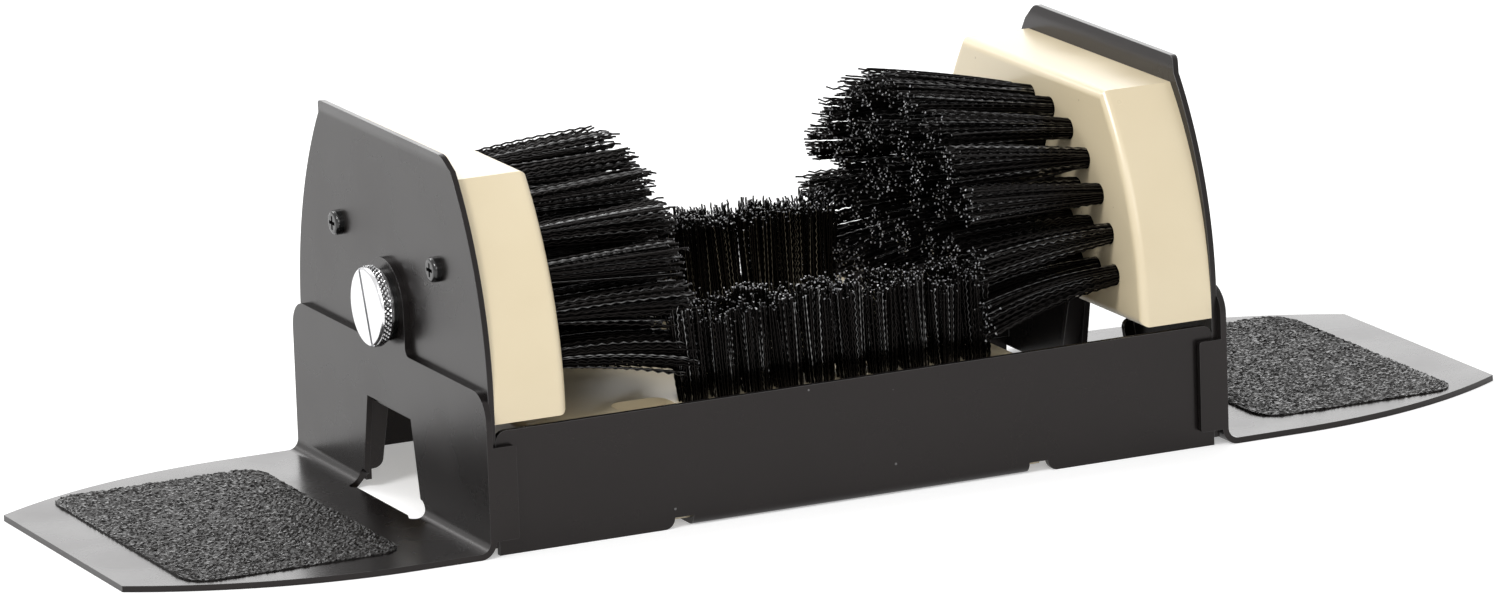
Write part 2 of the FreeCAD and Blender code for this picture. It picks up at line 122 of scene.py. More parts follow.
world = bpy.data.worlds.new("studio")
bpy.context.scene.world = world
world.use_nodes = True
nodes, links = world.node_tree.nodes, world.node_tree.links
shown = seen_rays(nodes, links)
strength = nodes.new("ShaderNodeMapRange")
strength.inputs["To Min"].default_value = ROOM_LIGHT
strength.inputs["To Max"].default_value = 1.0
links.new(shown, strength.inputs["Value"])
links.new(strength.outputs["Result"], nodes["Background"].inputs["Strength"])
nodes["Background"].inputs["Color"].default_value = WHITE

floor_material = bpy.data.materials.new("floor_paper")
floor_material.use_nodes = True
nodes, links = floor_material.node_tree.nodes, floor_material.node_tree.links
paper = nodes["Principled BSDF"]
paper.inputs["Base Color"].default_value = (PAPER_TONE, PAPER_TONE, PAPER_TONE, 1.0)
paper.inputs["Roughness"].default_value = PAPER_ROUGHNESS
paper.inputs["Specular IOR Level"].default_value = 0.0
paper.inputs["Emission Color"].default_value = WHITE
glow = nodes.new("ShaderNodeMath")
glow.operation = "MULTIPLY"
glow.inputs[1].default_value = PAPER_GLOW
links.new(seen_rays(nodes, links), glow.inputs[0])
links.new(glow.outputs[0], paper.inputs["Emission Strength"])

corner = FLOOR_HALF * np.array([[-1, -1, 0], [1, -1, 0], [1, 1, 0], [-1, 1, 0]], float)
floor_mesh = bpy.data.meshes.new("floor")
floor_mesh.from_pydata(corner, [], [(0, 1, 2, 3)])
floor_mesh.materials.append(floor_material)
floor = bpy.data.objects.new("floor", floor_mesh)
bpy.context.scene.collection.objects.link(floor)
print("floor", 2 * FLOOR_HALF, "m wide, room light", ROOM_LIGHT)

# %% [markdown]
# ## Lamps
# Five soft square lamps stand round the tray, each turned to it. The key lamp and the top
# lamp give the shapes a bright side, and the low front lamp fills the walls. The two lamps
# behind are there for their mirror images: the foot plates are seen at a low angle, and the
# pale sheen on them is the reflection of those lamps.

# %% Lamps
LAMPS = {
    "key_lamp": dict(place=(-1.9, -1.1, 2.0), size=0.8, watts=43.0),
    "low_front_lamp": dict(place=(-0.7, -2.6, 1.3), size=0.9, watts=13.5),
    "top_lamp": dict(place=(0.2, 1.4, 2.4), size=1.6, watts=20.0),
    "back_left_lamp": dict(place=(-1.0, 1.8, 1.5), size=1.0, watts=16.0),
    "low_back_lamp": dict(place=(1.5, 2.8, 0.75), size=2.6, watts=35.0),
}
for name, lamp in LAMPS.items():
    data = bpy.data.lights.new(name, "AREA")
    data.shape, data.size, data.energy = "SQUARE", lamp["size"], lamp["watts"]
    holder = bpy.data.objects.new(name, data)
    place = np.array(lamp["place"])
    side = np.cross(-place, [0, 0, 1])
    pose = np.eye(4)
    pose[:3, :3] = camera_rows(-place, side)
    pose[:3, 3] = place
    holder.matrix_world = Matrix(pose.tolist())
    bpy.context.scene.collection.objects.link(holder)
bpy.context.scene.view_settings.view_transform = "Standard"
print("lamps:", ", ".join(LAMPS))

# %% [markdown]
# ## Shared effects
# Every finish here needs small changes of tone over its surface, and a bump. Node groups do
# that for all of them: one mottles a value at a chosen size, and one gives a height from fine
# grain with a few larger dents. A third strews specks of dust over the paint and the blocks:
# it splits space into cells, picks a few by chance, and marks a small ball in each of those.


# %% Node group helpers
def new_group(name, inputs, outputs):
    """Empty shader node group with float inputs (name, default) and the named float outputs."""
    group = bpy.data.node_groups.new(name, "ShaderNodeTree")
    for label, value in inputs:
        socket = group.interface.new_socket(label, in_out="INPUT", socket_type="NodeSocketFloat")
        socket.default_value = value
    for label in outputs:
        group.interface.new_socket(label, in_out="OUTPUT", socket_type="NodeSocketFloat")
    return group, group.nodes.new("NodeGroupInput"), group.nodes.new("NodeGroupOutput")


def add_noise(nodes, links, scale, detail):
    """Noise over object coordinates, with its scale fed from a socket."""
    place = nodes.new("ShaderNodeTexCoord")
    noise = nodes.new("ShaderNodeTexNoise")
    noise.inputs["Detail"].default_value = detail
    links.new(place.outputs["Object"], noise.inputs["Vector"])
    links.new(scale, noise.inputs["Scale"])
    return noise.outputs["Fac"]


def add_math(nodes, links, operation, first, second):
    """Math node on two sockets or numbers."""
    node = nodes.new("ShaderNodeMath")
    node.operation = operation
    for slot_index, value in enumerate((first, second)):
        if isinstance(value, (int, float)):
            node.inputs[slot_index].default_value = value
        else:
            links.new(value, node.inputs[slot_index])
    return node.outputs[0]


# %% Mottle and grain
NOISE_MIDDLE = 0.5
mottle, inside, outside = new_group(
    "mottle", [("Patches per metre", 40.0), ("Contrast", 2.0)], ["Mask"])
patches = add_noise(mottle.nodes, mottle.links, inside.outputs["Patches per metre"], detail=4.0)
centred = add_math(mottle.nodes, mottle.links, "SUBTRACT", patches, NOISE_MIDDLE)
spread = add_math(mottle.nodes, mottle.links, "MULTIPLY", centred, inside.outputs["Contrast"])
mask = add_math(mottle.nodes, mottle.links, "ADD", spread, NOISE_MIDDLE)
mottle.links.new(mask, outside.inputs["Mask"])

grain, inside, outside = new_group(
    "grain", [("Grains per metre", 900.0), ("Dents per metre", 60.0), ("Dent share", 0.3)],
    ["Height"])
fine = add_noise(grain.nodes, grain.links, inside.outputs["Grains per metre"], detail=2.0)
dents = add_noise(grain.nodes, grain.links, inside.outputs["Dents per metre"], detail=1.0)
scaled = add_math(grain.nodes, grain.links, "MULTIPLY", dents, inside.outputs["Dent share"])
height = add_math(grain.nodes, grain.links, "ADD", fine, scaled)
grain.links.new(height, outside.inputs["Height"])
print("groups:", mottle.name, grain.name)

# %% Dust
CLEAN_SHARE = 0.93
dust, inside, outside = new_group(
    "dust", [("Cells per metre", 170.0), ("Speck size", 0.07)], ["Mask"])
place = dust.nodes.new("ShaderNodeTexCoord")
cells = dust.nodes.new("ShaderNodeTexVoronoi")
dust.links.new(place.outputs["Object"], cells.inputs["Vector"])
dust.links.new(inside.outputs["Cells per metre"], cells.inputs["Scale"])
chance = dust.nodes.new("ShaderNodeSeparateColor")
dust.links.new(cells.outputs["Color"], chance.inputs["Color"])
chosen = add_math(dust.nodes, dust.links, "GREATER_THAN", chance.outputs["Red"], CLEAN_SHARE)
near = add_math(dust.nodes, dust.links, "LESS_THAN", cells.outputs["Distance"],
                inside.outputs["Speck size"])
speck = add_math(dust.nodes, dust.links, "MULTIPLY", chosen, near)
dust.links.new(speck, outside.inputs["Mask"])
print("group:", dust.name, "over", round(1 - CLEAN_SHARE, 2), "of the cells")

# %% [markdown]
# ## Finishes
# Each finish is a Principled shader whose colour and roughness slide between two values by
# the mottle, over a bump from the grain. The satin black paint is nearly black by itself:
# its grey faces are the white room, mirrored at a low angle. Along the rolled edges of the
# sheet the same paint is worn a little paler, which also paints a highlight line on each edge.
# Some finishes also read values from the mesh: the nylon of the bristles gets a coat weight
# from there, so that each filament shines in its own way, and a share of a second colour
# whitens its cut end as a painted glint and darkens the knurls' grooves as painted shade.


# %% Finish builder
def blend_values(nodes, links, mask_socket, low, high):
    """Socket that goes from low to high as the mask goes from 0 to 1."""
    node = nodes.new("ShaderNodeMapRange")
    node.inputs["To Min"].default_value, node.inputs["To Max"].default_value = low, high
    links.new(mask_socket, node.inputs["Value"])
    return node.outputs["Result"]


def blend_colours(nodes, links, mask_socket, low, high):
    """Colour socket from low, a colour or a socket, to high as the mask goes from 0 to 1."""
    node = nodes.new("ShaderNodeMix")
    node.data_type = "RGBA"
    if isinstance(low, tuple):
        node.inputs["A"].default_value = (*low, 1.0)
    else:
        links.new(low, node.inputs["A"])
    node.inputs["B"].default_value = (*high, 1.0)
    links.new(mask_socket, node.inputs["Factor"])
    return node.outputs["Result"]


def use_group(nodes, links, group, **values):
    """Places a node group and sets its inputs; underscores in names stand for spaces."""
    node = nodes.new("ShaderNodeGroup")
    node.node_tree = group
    for label, value in values.items():
        node.inputs[label.replace("_", " ")].default_value = value
    return node.outputs[0]


def new_finish(name, dark, light, rough, patches_per_metre, grains_per_metre, bump_mm,
               metallic=0.0, specular=0.5, contrast=2.0, dents_per_metre=60.0, dent_share=0.3,
               shine=(1.0, 1.0, 1.0), speck_colour=None):
    """Principled finish that slides from dark to light and between two roughnesses."""
    material = bpy.data.materials.new(name)
    material.use_nodes = True
    nodes, links = material.node_tree.nodes, material.node_tree.links
    shader = nodes["Principled BSDF"]
    mask_socket = use_group(nodes, links, mottle, Patches_per_metre=patches_per_metre,
                            Contrast=contrast)
    colour = blend_colours(nodes, links, mask_socket, dark, light)
    if speck_colour:
        specks = use_group(nodes, links, dust)
        colour = blend_colours(nodes, links, specks, colour, speck_colour)
    links.new(colour, shader.inputs["Base Color"])
    links.new(blend_values(nodes, links, mask_socket, *rough), shader.inputs["Roughness"])
    bump = nodes.new("ShaderNodeBump")
    bump.inputs["Distance"].default_value = bump_mm * MM
    links.new(use_group(nodes, links, grain, Grains_per_metre=grains_per_metre,
                        Dents_per_metre=dents_per_metre, Dent_share=dent_share),
              bump.inputs["Height"])
    links.new(bump.outputs["Normal"], shader.inputs["Normal"])
    shader.inputs["Metallic"].default_value = metallic
    shader.inputs["Specular IOR Level"].default_value = specular
    shader.inputs["Specular Tint"].default_value = (*shine, 1.0)
    return material


# %% Paint, plastic and grit
black_paint = new_finish(
    "satin_black_paint", dark=(0.0045, 0.0038, 0.0036), light=(0.0080, 0.0067, 0.0064),
    rough=(0.22, 0.32), patches_per_metre=30.0, grains_per_metre=700.0, bump_mm=0.006,
    specular=0.31, shine=(1.0, 0.93, 0.92), speck_colour=(0.12, 0.12, 0.12))
cream_plastic = new_finish(
    "cream_block_plastic", dark=(0.67, 0.565, 0.375), light=(0.72, 0.62, 0.43),
    rough=(0.26, 0.42), patches_per_metre=22.0, grains_per_metre=1100.0, bump_mm=0.02,
    specular=0.9, speck_colour=(0.50, 0.40, 0.25))
# Paler worn paint for the rolled sheet edges; it is also a painted highlight, the light line
# along each edge.
worn_edge_and_highlight = new_finish(
    "worn_paint_edge_highlight", dark=(0.016, 0.015, 0.015), light=(0.034, 0.032, 0.032),
    rough=(0.24, 0.36), patches_per_metre=90.0, grains_per_metre=900.0, bump_mm=0.01,
    specular=0.75)
black_bristle = new_finish(
    "crimped_black_bristle", dark=(0.0016, 0.0014, 0.0013), light=(0.0036, 0.0032, 0.0030),
    rough=(0.10, 0.20), patches_per_metre=160.0, grains_per_metre=1500.0, bump_mm=0.005,
    specular=0.12, shine=(1.0, 0.90, 0.86))
black_grit = new_finish(
    "black_grit_tape", dark=(0.002, 0.0018, 0.0017), light=(0.024, 0.022, 0.021),
    rough=(0.12, 0.50), patches_per_metre=900.0, grains_per_metre=2600.0, bump_mm=0.03,
    specular=0.22, contrast=3.0)
print("finishes:", len(bpy.data.materials) - 1, "and the floor's paper")

# %% Metals
bright_plating = new_finish(
    "bright_zinc_plating", dark=(0.70, 0.70, 0.71), light=(0.82, 0.82, 0.83),
    rough=(0.12, 0.24), patches_per_metre=120.0, grains_per_metre=2500.0, bump_mm=0.006,
    metallic=1.0)
dull_zinc = new_finish(
    "dull_zinc_plating", dark=(0.55, 0.54, 0.50), light=(0.66, 0.65, 0.62),
    rough=(0.30, 0.45), patches_per_metre=150.0, grains_per_metre=2500.0, bump_mm=0.01,
    metallic=1.0)
black_oxide = new_finish(
    "black_oxide_screws", dark=(0.004, 0.004, 0.004), light=(0.008, 0.008, 0.008),
    rough=(0.12, 0.22), patches_per_metre=200.0, grains_per_metre=2000.0, bump_mm=0.01,
    specular=0.6)
anchor_wire = new_finish(
    "drawn_anchor_wire", dark=(0.50, 0.50, 0.50), light=(0.62, 0.62, 0.62),
    rough=(0.25, 0.40), patches_per_metre=300.0, grains_per_metre=3000.0, bump_mm=0.01,
    metallic=1.0)
print("finishes:", len(bpy.data.materials) - 1, "and the floor's paper")

# %% Shine of the filaments
SHINE = "shine"
NYLON_COAT_IOR, NYLON_COAT_ROUGHNESS = 2.8, 0.12
nodes, links = black_bristle.node_tree.nodes, black_bristle.node_tree.links
shine_of_filament = nodes.new("ShaderNodeAttribute")
shine_of_filament.attribute_name = SHINE
nylon = nodes["Principled BSDF"]
nylon.inputs["Coat IOR"].default_value = NYLON_COAT_IOR
nylon.inputs["Coat Roughness"].default_value = NYLON_COAT_ROUGHNESS
links.new(shine_of_filament.outputs["Fac"], nylon.inputs["Coat Weight"])
print(black_bristle.name, "reads its coat from", SHINE)

# %% Tint read from the mesh
TINT_SHARE = "tint_share"
# Painted glint: the pale grey that whitens the cut end of a filament.
CUT_END_GLINT = (0.42, 0.42, 0.44)
# Painted shade: the near black that darkens the knurls' grooves.
KNURL_GROOVE_SHADE = (0.012, 0.011, 0.010)


def tint_by_mesh(material, tint):
    """Blends the finish's colour to the tint by the mesh's own value from 0 to 1."""
    nodes, links = material.node_tree.nodes, material.node_tree.links
    base = nodes["Principled BSDF"].inputs["Base Color"]
    share = nodes.new("ShaderNodeAttribute")
    share.attribute_name = TINT_SHARE
    plain = base.links[0].from_socket
    links.new(blend_colours(nodes, links, share.outputs["Fac"], plain, tint), base)
    print(material.name, "reads its tint from", TINT_SHARE)


tint_by_mesh(black_bristle, CUT_END_GLINT)
tint_by_mesh(bright_plating, KNURL_GROOVE_SHADE)

# %% [markdown]
# ## Parts that keep their CAD shape
# Small things such as screws, collars, nuts and anchors are right as they come, so they
# only get a finish. The record says which slot each node wears, and the slot picks the finish.

# %% Finish every CAD node by its slot
FINISH_OF_SLOT = {
    "black_steel": black_paint, "cream_block": cream_plastic, "bristle": black_bristle,
    "anchor_wire": anchor_wire, "black_screw": black_oxide, "zinc_nut": dull_zinc,
    "bright_screw": bright_plating, "grit_tape": black_grit}
slot_of_node = {part["node"]: part["material_slot"] for part in frame["record"]["subparts"]}
body_of_node = {node: body for body, members in frame["record"]["behaviour"]["bodies"].items()
                for node in members}
for node, slot_name in slot_of_node.items():
    mesh = frame["nodes"][node].data
    mesh.materials.clear()
    mesh.materials.append(FINISH_OF_SLOT[slot_name])
print("nodes with a finish:", len(slot_of_node))

# %% [markdown]
# ## Painted sheet and moulded blocks
# Pressed steel has no knife edges: the shear rolls them and the paint rounds them further,
# and a thin light line runs along each edge. A copy of the CAD mesh is merged into one skin,
# its flat triangles are joined into faces, and a bevel rounds every edge that is sharper
# than 30 degrees. The bevel gives its own faces a second finish, a paler worn paint that is
# also a painted highlight: it draws the light line along each edge. The blocks get the same
# bevel at their mould edges and round the bristle holes, in their own plastic.


# %% Softened copies
SHARP = math.radians(30.0)
FLAT = math.radians(1.0)
SAME_PLACE = 2e-6
BEVEL_SEGMENTS = 3
FLAT_FACE_WEIGHT = 100
SHEET_EDGE, BLOCK_EDGE = 0.45 * MM, 1.0 * MM


def softened(node, name, width, edge_finish=None):
    """Copy of a CAD node as one skin, with its sharp edges rounded to the width.

    The rounded edges get their own finish where there is one.
    """
    mesh = frame["nodes"][node].data.copy()
    mesh.name = name
    work = bmesh.new()
    work.from_mesh(mesh)
    bmesh.ops.remove_doubles(work, verts=work.verts, dist=SAME_PLACE)
    bmesh.ops.dissolve_limit(work, angle_limit=FLAT, verts=work.verts, edges=work.edges)
    work.to_mesh(mesh)
    work.free()
    mesh.polygons.foreach_set("use_smooth", np.ones(len(mesh.polygons), bool))
    piece = bpy.data.objects.new(name, mesh)
    bpy.context.scene.collection.objects.link(piece)
    bevel = piece.modifiers.new("rolled_edges", "BEVEL")
    bevel.width, bevel.segments = width, BEVEL_SEGMENTS
    bevel.limit_method, bevel.angle_limit = "ANGLE", SHARP
    if edge_finish:
        mesh.materials.append(edge_finish)
        bevel.material = len(mesh.materials) - 1
    weighted = piece.modifiers.new("flat_faces_stay_flat", "WEIGHTED_NORMAL")
    weighted.mode, weighted.weight = "FACE_AREA", FLAT_FACE_WEIGHT
    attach(piece, body_of_node[node])
    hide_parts(node)
    return piece


# The sheet parts' rolled edges get the paler paint, a painted highlight line along each edge.
soft_parts = [softened("base_channel", "painted_channel", SHEET_EDGE, worn_edge_and_highlight),
              softened("bottom_block", "moulded_bottom_block", BLOCK_EDGE)]
for side in SIDES:
    soft_parts += [
        softened(f"{side}_end_plate", f"{side}_painted_end_plate", SHEET_EDGE, worn_edge_and_highlight),
        softened(f"{side}_foot_bracket", f"{side}_painted_foot_bracket", SHEET_EDGE, worn_edge_and_highlight),
        softened(f"{side}_side_block", f"{side}_moulded_side_block", BLOCK_EDGE)]
for piece in soft_parts:
    print(piece.name, len(piece.data.polygons), "faces")

# %% [markdown]
# ## Bristles
# A tuft is a bundle of black nylon filaments, folded over a wire and pulled into a hole. The
# filaments are crimped in small waves, which catch the light as rows of dashes, and they
# spread from the hole to the tip. A hair system could grow them, but it wouldn't come out as
# a plain mesh. Here every filament is a thin three sided tube, and all the tubes of a row are
# worked out at once as one array. Neighbouring rings lean to opposite sides of the tube's
# line, so smooth shading turns the zigzag into a wave.


# %% Mesh from arrays
def mesh_piece(name, points, faces, finish, node, smooth=True):
    """Object from points and faces in place of a CAD node; smooth shading goes to its quads."""
    mesh = bpy.data.meshes.new(name)
    mesh.from_pydata(points.reshape(-1, 3), [], faces)
    corners = np.zeros(len(mesh.polygons), int)
    mesh.polygons.foreach_get("loop_total", corners)
    mesh.polygons.foreach_set("use_smooth", smooth & (corners == 4))
    mesh.materials.append(finish)
    piece = bpy.data.objects.new(name, mesh)
    bpy.context.scene.collection.objects.link(piece)
    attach(piece, body_of_node[node])
    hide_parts(node)
    return piece


def set_mesh_value(piece, name, values):
    """Gives every point of a piece a value that its finish reads by name."""
    attribute = piece.data.attributes.new(name, "FLOAT", "POINT")
    attribute.data.foreach_set("value", values.ravel())


# %% Filaments
FILAMENT_RADIUS = 0.37 * MM
TUBE_SIDES = 3
CRIMP_SHARES = (0.3, 1.3)
CRIMP_TWIST = 0.5
CRIMP_AT_ROOT, CRIMP_RISE = 0.15, 4
TUFT_LENGTH_SHARE, LONGEST_SHARE = 0.6, 1.5
CUT_SLANT = 0.25 * MM
CUT_LENGTH = 0.35 * MM
TURN = 2 * math.pi
GOLDEN_ANGLE = math.pi * (3 - math.sqrt(5))


def tube_faces(tubes, rings):
    """Quads between the rings of each tube, and a triangle at each of its two ends."""
    ring = np.arange(rings - 1)[:, None] * TUBE_SIDES
    edge = np.arange(TUBE_SIDES)[None, :]
    after = (edge + 1) % TUBE_SIDES
    quads = np.stack([ring + edge, ring + after, ring + TUBE_SIDES + after,
                      ring + TUBE_SIDES + edge], axis=-1).reshape(-1, 4)
    starts = np.arange(tubes)[:, None, None] * rings * TUBE_SIDES
    quads = (quads[None] + starts).reshape(-1, 4)
    last = (rings - 1) * TUBE_SIDES
    ends = np.array([[2, 1, 0], [last, last + 1, last + 2]])
    ends = (ends[None] + starts).reshape(-1, 3)
    return quads.tolist() + ends.tolist()


def filament_points(roots, tips, travel, sag, brush, random):
    """Points of every filament, as (tuft, filament, ring, corner, xyz).

    Filament k of a tuft leaves a disc at golden angle times k, at a distance from the middle
    that grows as the square root of k. With s the share along it, the disc's radius goes from
    root to tip radius as s ** widening, and the middle of the tuft goes from root to tip with
    a sag of s squared. Each filament also ends a little loose and bows by s (1 - s). Rings
    half a crimp apart step to one side and the other of that line in turn, more for some
    filaments than for others, and little near the root. One short ring more makes the cut
    end, slanted by chance, as cutters leave it.
    """
    tufts, count = len(roots), brush["count"]
    first = np.array([0.0, 0.0, 1.0] if travel[0] else [1.0, 0.0, 0.0])
    second = np.cross(travel, first)
    k = np.arange(count)
    angle = GOLDEN_ANGLE * k + random.uniform(0, TURN, (tufts, 1))
    disc = np.sqrt((k + 0.5) / count)[:, None] * (
        np.cos(angle)[..., None] * first + np.sin(angle)[..., None] * second)
    length = np.abs((tips[0] - roots[0]) @ travel)
    rings = int(round(2 * length / brush["crimp_length"])) + 2
    s = np.append(np.linspace(0, 1 - CUT_LENGTH / length, rings - 1), 1.0)[:, None]
    spreading = brush["tip_radius"] - brush["root_radius"]
    radius = brush["root_radius"] + spreading * s ** brush["widening"]
    stray = random.random((tufts, count, 1)) < brush["stray_share"]
    loose = (random.normal(0, brush["loose"], (tufts, count, 3))
             + random.normal(0, brush["lean"], (tufts, 1, 3))
             + stray * random.normal(0, brush["stray"], (tufts, count, 3)))
    loose = loose - (loose @ travel)[..., None] * travel
    uneven = brush["length_change"]
    change = (random.normal(0, uneven, (tufts, count))
              + random.normal(0, TUFT_LENGTH_SHARE * uneven, (tufts, 1)))
    change = np.minimum(change, LONGEST_SHARE * uneven)
    end = tips[:, None] + loose + change[..., None] * travel
    bow = random.normal(0, brush["bow"], (tufts, count, 3))
    line = (roots[:, None, None] * (1 - s) + end[:, :, None] * s + disc[:, :, None] * radius
            + sag[:, None, None] * s ** 2 + bow[:, :, None] * s * (1 - s))
    turn = (random.uniform(0, TURN, (tufts, 1, 1))
            + random.normal(0, CRIMP_TWIST, (tufts, count, 1)))
    sideways = np.cos(turn) * first + np.sin(turn) * second
    size = brush["crimp_size"] * random.uniform(*CRIMP_SHARES, (tufts, count, 1, 1))
    growth = np.clip(CRIMP_RISE * s, CRIMP_AT_ROOT, 1)
    zigzag = np.where(np.arange(rings) % 2, 1.0, -1.0)[:, None] * growth
    zigzag[-1] = zigzag[-2]
    line = line + size * zigzag * sideways[:, :, None]
    corner_angle = np.arange(TUBE_SIDES)[:, None] * TURN / TUBE_SIDES
    corners = FILAMENT_RADIUS * (np.cos(corner_angle) * first + np.sin(corner_angle) * second)
    points = line[..., None, :] + corners
    slant = random.uniform(-CUT_SLANT, CUT_SLANT, (tufts, count, TUBE_SIDES, 1))
    points[:, :, -1] += slant * travel
    return points


# %% Rows of bristles
GLOSSY_SHARE = 0.28
GLOSSY_LEVELS = (0.4, 1)
SHINE_POWER = 2
DASH_LOW = 0.1
CUT_POWER = 3


def bristle_row(name, node, points, random):
    """One piece of bristles in place of a CAD row of tufts.

    Some filaments shine: their coat goes from a low to a high weight and back along every
    crimp, which gives the dashes. The cut end of any filament may flash by itself, and its
    colour is whitened, a painted glint, by a share from 0 to 1 that is mostly small.
    """
    tufts, count, rings = points.shape[:3]
    piece = mesh_piece(name, points, tube_faces(tufts * count, rings), black_bristle, node)
    glossy = random.random((tufts, count, 1)) < GLOSSY_SHARE
    level = glossy * random.uniform(*GLOSSY_LEVELS, (tufts, count, 1)) ** SHINE_POWER
    shine = level * np.where(np.arange(rings) % 2, 1.0, DASH_LOW)
    shine[..., -1] = random.random((tufts, count)) ** SHINE_POWER
    shine = np.repeat(shine[..., None], TUBE_SIDES, axis=-1)
    set_mesh_value(piece, SHINE, shine)
    # Painted glint: each cut end is whitened by a share that is mostly small.
    cut = np.zeros(points.shape[:4])
    cut[:, :, -1] = random.random((tufts, count, 1)) ** CUT_POWER
    set_mesh_value(piece, TINT_SHARE, cut)
    print(name, tufts, "tufts", tufts * count, "filaments of", rings, "rings")


# %% [markdown]
# ### Side brushes
# Four arcs of holes fan over each side block, and the tufts open a little as they go in over
# the boot. The lowest tufts droop, and more so on the right, where boots have pushed them.

# %% Side bristles
BLOCK_FACE = min(abs(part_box("right_side_block")[0].x), abs(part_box("right_side_block")[1].x))
FAN_CENTRE = 49.5 * MM
FAN_WIDE = 56.2 * MM
FAN_TALL = 54.6 * MM
FAN_STEP = 13.2 * MM
FAN_LOWEST_RISE = 6.1 * MM
FAN_SHARES = {"outer": 1.0, "second": 0.78, "third": 0.56, "inner": 0.34}
SIDE_TIP = 48.8 * MM
ROOT_SINK = 1.5 * MM
SIDE_BRUSH = dict(count=58, root_radius=3.05 * MM, tip_radius=6.3 * MM, widening=0.9,
                  crimp_length=3.8 * MM, crimp_size=0.32 * MM, length_change=1.4 * MM,
                  loose=0.6 * MM, lean=0.6 * MM, bow=0.9 * MM, stray_share=0.05, stray=2.6 * MM)
SIDE_OPENING = {"left": 1.02, "right": 1.15}
LOW_DROOP = {"left": 6.0 * MM, "right": 9.0 * MM}
DROOP_BELOW = 0.6 * FAN_TALL
LEAST_DROOP = 0.1
SIDE_SEED = {"left": 100, "right": 300}


def fan_angles(share):
    """Evenly spaced angles of one arc, from its lowest tuft at the front to the one behind."""
    tall = FAN_TALL * share
    first = math.asin(FAN_LOWEST_RISE / tall)
    gaps = int(tall * (math.pi - 2 * first) / FAN_STEP)
    return first + np.arange(gaps + 1) * (math.pi - 2 * first) / gaps


for side, sign in SIDES.items():
    for index, (arc, share) in enumerate(FAN_SHARES.items()):
        angles = fan_angles(share)
        y, rise = FAN_WIDE * share * np.cos(angles), FAN_TALL * share * np.sin(angles)
        opening = SIDE_OPENING[side]
        root_x = np.full(len(y), sign * (BLOCK_FACE + ROOT_SINK))
        tip_x = np.full(len(y), sign * SIDE_TIP)
        roots = np.column_stack([root_x, y, FAN_CENTRE + rise])
        tips = np.column_stack([tip_x, opening * y, FAN_CENTRE + opening * rise])
        sag = np.zeros((len(y), 3))
        sag[:, 2] = -LOW_DROOP[side] * np.clip(1 - rise / DROOP_BELOW, LEAST_DROOP, 1)
        random = np.random.default_rng(SIDE_SEED[side] + index)
        points = filament_points(
            roots, tips, np.array([-sign, 0.0, 0.0]), sag, SIDE_BRUSH, random)
        bristle_row(f"{side}_{arc}_side_bristles", f"{side}_{arc}_side_tufts", points, random)

# %% [markdown]
# ### Bottom brush
# Two rows at the front and two at the back stand upright in the bottom block and scrub the
# edges of the sole. Their tufts are shorter and finer crimped, and wear has left them uneven.

# %% Bottom bristles
# Each row's place along Y, its tufts, and the height of its tips, in millimetres.
BOTTOM_ROWS = {"front_outer": (-57.0, 10, 64.2), "front_inner": (-45.0, 9, 64.2),
               "rear_inner": (45.0, 9, 66.0), "rear_outer": (57.0, 10, 66.0)}
BOTTOM_SEED = 500
BOTTOM_PITCH = 11.0 * MM
BOTTOM_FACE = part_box("bottom_block")[1].z
TIP_SHIFT = -1.5 * MM
BOTTOM_BRUSH = dict(count=62, root_radius=3.45 * MM, tip_radius=5.5 * MM, widening=0.17,
                    crimp_length=2.4 * MM, crimp_size=0.26 * MM, length_change=1.6 * MM,
                    loose=0.5 * MM, lean=0.5 * MM, bow=0.5 * MM, stray_share=0.03, stray=1.6 * MM)
for index, (row, (y, count, tip)) in enumerate(BOTTOM_ROWS.items()):
    x = (np.arange(count) - (count - 1) / 2) * BOTTOM_PITCH
    across_row = np.full(count, y * MM)
    roots = np.column_stack([x, across_row, np.full(count, BOTTOM_FACE - ROOT_SINK)])
    tips = np.column_stack([x + TIP_SHIFT, across_row, np.full(count, tip * MM)])
    random = np.random.default_rng(BOTTOM_SEED + index)
    points = filament_points(
        roots, tips, np.array([0.0, 0.0, 1.0]), np.zeros((count, 3)), BOTTOM_BRUSH, random)
    bristle_row(f"bottom_{row}_bristles", f"bottom_{row}_tufts", points, random)

# %% [markdown]
# ## Grit tape
# The tape's top is a bed of sharp grains. A grid with a point every 0.62 mm gets a random
# height at each point, and flat shading keeps every facet sharp, so that some of them flash
# as they face a lamp. The rows of the grid shorten towards the ends, which rounds the corners.


# %% Grit tape
GRIT_STEP = 0.62 * MM
GRIT_DEPTH = 0.62 * MM
GRIT_SHIFT = 0.24 * MM
TAPE_CORNER = 9.0 * MM
EVEN_CHANCE = 0.5
GRIT_SEED = {"left": 699, "right": 701}


